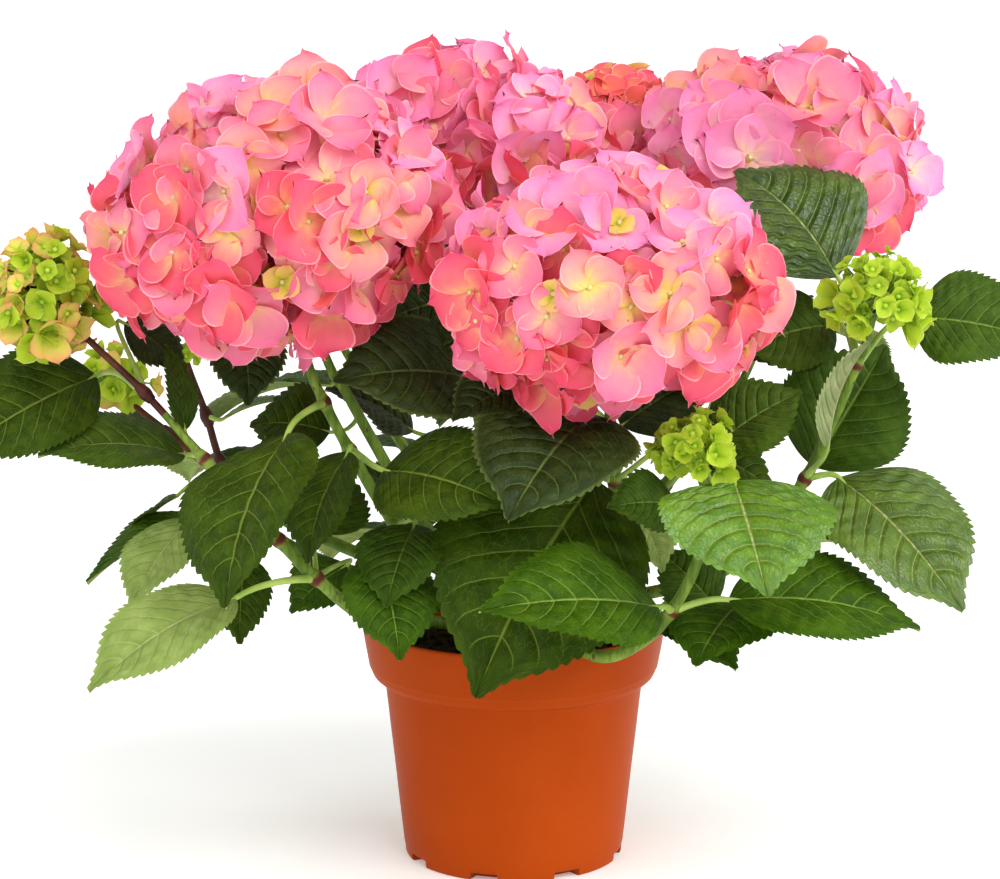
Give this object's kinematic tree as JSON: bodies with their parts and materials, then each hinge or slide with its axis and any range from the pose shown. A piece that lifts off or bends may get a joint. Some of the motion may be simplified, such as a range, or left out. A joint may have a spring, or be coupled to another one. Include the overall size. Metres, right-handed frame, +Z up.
{
  "type": "potted hydrangea shrub",
  "caption": "Mophead hydrangea in a round tapered nursery pot: green canes from a low stool, broad opposite leaves, domed blooms and small unopened bud heads.",
  "frame": {"origin": "centre of the pot's flat underside", "axes": "+Z up along the pot's axis; the shrub's front looks along -Y and +X is to its right as seen from the front"},
  "size_m": [0.484, 0.3133, 0.3716],
  "materials": {
    "pot": "terracotta-coloured moulded plastic, soft sheen",
    "soil": "dark moist peat compost",
    "stool": "rough brown woody crown",
    "cane": "smooth light green cane with small dark specks",
    "foliage": "glossy green toothed leaves, paler beneath",
    "bloom": "satin sepals, rose pink at the rim and peach to cream in the middle",
    "bud_head": "lime green unopened florets"
  },
  "bodies": {
    "root": {"pot": "pot", "soil": "soil", "stool": "stool", "bloom_centre": "bloom", "bloom_front": "bloom", "bloom_left": "bloom", "bloom_right": "bloom", "bloom_young": "bloom", "bud_head_back": "bud_head", "bud_head_front": "bud_head", "bud_head_left": "bud_head", "bud_head_right": "bud_head", "bud_head_small": "bud_head", "cane_back_left": "cane", "cane_back_middle": "cane", "cane_back_right": "cane", "cane_bud_back": "cane", "cane_bud_front": "cane", "cane_bud_left": "cane", "cane_bud_right": "cane", "cane_centre": "cane", "cane_front": "cane", "cane_left": "cane", "cane_left_back": "cane", "cane_left_second": "cane", "cane_right": "cane", "foliage_back_left": "foliage", "foliage_back_middle": "foliage", "foliage_back_right": "foliage", "foliage_bud_back": "foliage", "foliage_bud_front": "foliage", "foliage_bud_left": "foliage", "foliage_bud_right": "foliage", "foliage_centre": "foliage", "foliage_front": "foliage", "foliage_left": "foliage", "foliage_left_back": "foliage", "foliage_right": "foliage"}
  },
  "joints": []
}
